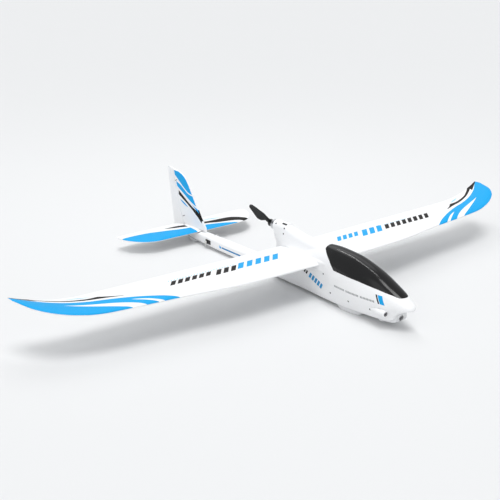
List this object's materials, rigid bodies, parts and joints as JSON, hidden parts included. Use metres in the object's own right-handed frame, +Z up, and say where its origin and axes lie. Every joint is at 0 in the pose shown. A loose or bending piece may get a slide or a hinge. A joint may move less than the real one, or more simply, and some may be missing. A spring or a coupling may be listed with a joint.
{
  "type": "fixed wing drone",
  "caption": "Foam pusher glider: high wing, pod-and-boom fuselage, rear propeller on a pylon, lift-off canopy, moving control surfaces.",
  "frame": {"origin": "centre of the belly skid's flat sole, on the surface the aircraft stands on", "axes": "+X to the aircraft's left (port) wing tip, -Y to the nose, +Z up"},
  "size_m": [1.599, 1.021, 0.2117],
  "materials": {
    "foam_white": "smooth moulded particle foam, decorated",
    "foam_grey": "harder moulded foam",
    "canopy_black": "gloss",
    "nylon_black": "moulded glass-filled nylon",
    "nylon_white": "moulded nylon",
    "servo_black": "satin",
    "plywood": "raw laser-cut",
    "carbon": "pultruded, satin",
    "steel": "bright",
    "aluminium": "turned",
    "winding": "enamelled copper wire on a steel core",
    "battery_wrap": "heat-shrink wrap",
    "circuit": "wrapped circuit board"
  },
  "bodies": {
    "airframe": {"fuselage_left": "foam_white", "fuselage_right": "foam_white", "wing_left": "foam_white", "wing_right": "foam_white", "wing_spar": "carbon", "stabilizer": "foam_white", "fin": "foam_white", "rudder_hinge_lower": "nylon_black", "rudder_hinge_upper": "nylon_black", "belly_skid": "foam_grey", "tail_bumper": "foam_grey", "chin_block": "foam_grey", "cooling_intake_left": "foam_white", "cooling_intake_right": "foam_white", "deck_magnet": "steel", "equipment_tray": "plywood", "battery": "battery_wrap", "speed_controller": "circuit", "receiver": "nylon_black", "motor_mount": "aluminium", "motor_stator": "winding", "aileron_left_servo": "servo_black", "aileron_right_servo": "servo_black", "elevator_servo": "servo_black", "rudder_servo": "servo_black", "shell_screw_left_1": "steel", "shell_screw_left_2": "steel", "shell_screw_left_3": "steel", "shell_screw_left_4": "steel", "shell_screw_right_1": "steel", "shell_screw_right_2": "steel", "shell_screw_right_3": "steel", "shell_screw_right_4": "steel"},
    "canopy": {"canopy": "canopy_black", "canopy_magnet": "steel"},
    "propeller": {"motor_bell": "aluminium", "propeller": "nylon_black", "propeller_nut": "steel"},
    "aileron_left": {"aileron_left": "foam_white", "aileron_left_horn": "nylon_black"},
    "aileron_right": {"aileron_right": "foam_white", "aileron_right_horn": "nylon_black"},
    "elevator": {"elevator_left": "foam_white", "elevator_right": "foam_white", "elevator_joiner": "steel", "elevator_horn": "nylon_black"},
    "rudder": {"rudder": "foam_white", "rudder_horn": "nylon_black"},
    "aileron_left_arm": {"aileron_left_servo_arm": "nylon_white"},
    "aileron_right_arm": {"aileron_right_servo_arm": "nylon_white"},
    "elevator_arm": {"elevator_servo_arm": "nylon_white"},
    "rudder_arm": {"rudder_servo_arm": "nylon_white"},
    "aileron_left_rod": {"aileron_left_pushrod": "steel"},
    "aileron_right_rod": {"aileron_right_pushrod": "steel"},
    "elevator_rod": {"elevator_pushrod": "steel"},
    "rudder_rod": {"rudder_pushrod": "steel"}
  },
  "joints": [
    {"name": "propeller_spin", "type": "hinge", "parent": "airframe", "child": "propeller", "pos_m": [0, 0.338, 0.145], "axis": [0, 1, 0], "continuous": true},
    {"name": "canopy_lift", "type": "slide", "parent": "airframe", "child": "canopy", "axis": [0, 0, 1], "range_m": [0, 0.07]},
    {"name": "aileron_left_hinge", "type": "hinge", "parent": "airframe", "child": "aileron_left", "pos_m": [0.33, 0.2487, 0.10332], "axis": [0.9999, 0.0027, 0.0131], "range_deg": [-25, 25]},
    {"name": "aileron_right_hinge", "type": "hinge", "parent": "airframe", "child": "aileron_right", "pos_m": [-0.33, 0.2487, 0.10332], "axis": [0.9999, -0.0027, -0.0131], "range_deg": [-25, 25]},
    {"name": "elevator_hinge", "type": "hinge", "parent": "airframe", "child": "elevator", "pos_m": [0, 0.736, 0.038], "axis": [1, 0, 0], "range_deg": [-25, 25]},
    {"name": "rudder_hinge", "type": "hinge", "parent": "airframe", "child": "rudder", "pos_m": [0, 0.744, 0.028], "axis": [0, 0.327, 0.945], "range_deg": [-28, 28]},
    {"name": "aileron_left_arm_turn", "type": "hinge", "parent": "airframe", "child": "aileron_left_arm", "pos_m": [0.33, 0.1707, 0.10182], "axis": [0.9999, 0.0027, 0.0131], "range_deg": [-25, 25]},
    {"name": "aileron_right_arm_turn", "type": "hinge", "parent": "airframe", "child": "aileron_right_arm", "pos_m": [-0.33, 0.1707, 0.10182], "axis": [0.9999, -0.0027, -0.0131], "range_deg": [-25, 25]},
    {"name": "elevator_arm_turn", "type": "hinge", "parent": "airframe", "child": "elevator_arm", "pos_m": [-0.023, 0.61, 0.0215], "axis": [1, 0, 0], "range_deg": [-25, 25]},
    {"name": "rudder_arm_turn", "type": "hinge", "parent": "airframe", "child": "rudder_arm", "pos_m": [0.009, 0.612, 0.0335], "axis": [0, 0.327, 0.945], "range_deg": [-28, 28]},
    {"name": "aileron_left_rod_turn", "type": "hinge", "parent": "aileron_left_arm", "child": "aileron_left_rod", "pos_m": [0.33, 0.1707, 0.08482], "axis": [0.9999, 0.0027, 0.0131], "range_deg": [-25, 25]},
    {"name": "aileron_right_rod_turn", "type": "hinge", "parent": "aileron_right_arm", "child": "aileron_right_rod", "pos_m": [-0.33, 0.1707, 0.08482], "axis": [0.9999, -0.0027, -0.0131], "range_deg": [-25, 25]},
    {"name": "elevator_rod_turn", "type": "hinge", "parent": "elevator_arm", "child": "elevator_rod", "pos_m": [-0.023, 0.61, 0.0105], "axis": [1, 0, 0], "range_deg": [-25, 25]},
    {"name": "rudder_rod_turn", "type": "hinge", "parent": "rudder_arm", "child": "rudder_rod", "pos_m": [0.023, 0.612, 0.0335], "axis": [0, 0.327, 0.945], "range_deg": [-28, 28]}
  ],
  "couplings": [
    {"joint": "aileron_right_hinge", "follows": "aileron_left_hinge", "ratio": -1},
    {"joint": "aileron_left_arm_turn", "follows": "aileron_left_hinge", "ratio": 1},
    {"joint": "aileron_left_rod_turn", "follows": "aileron_left_hinge", "ratio": -1},
    {"joint": "aileron_right_arm_turn", "follows": "aileron_left_hinge", "ratio": -1},
    {"joint": "aileron_right_rod_turn", "follows": "aileron_left_hinge", "ratio": 1},
    {"joint": "elevator_arm_turn", "follows": "elevator_hinge", "ratio": 1},
    {"joint": "elevator_rod_turn", "follows": "elevator_hinge", "ratio": -1},
    {"joint": "rudder_arm_turn", "follows": "rudder_hinge", "ratio": 1},
    {"joint": "rudder_rod_turn", "follows": "rudder_hinge", "ratio": -1}
  ]
}
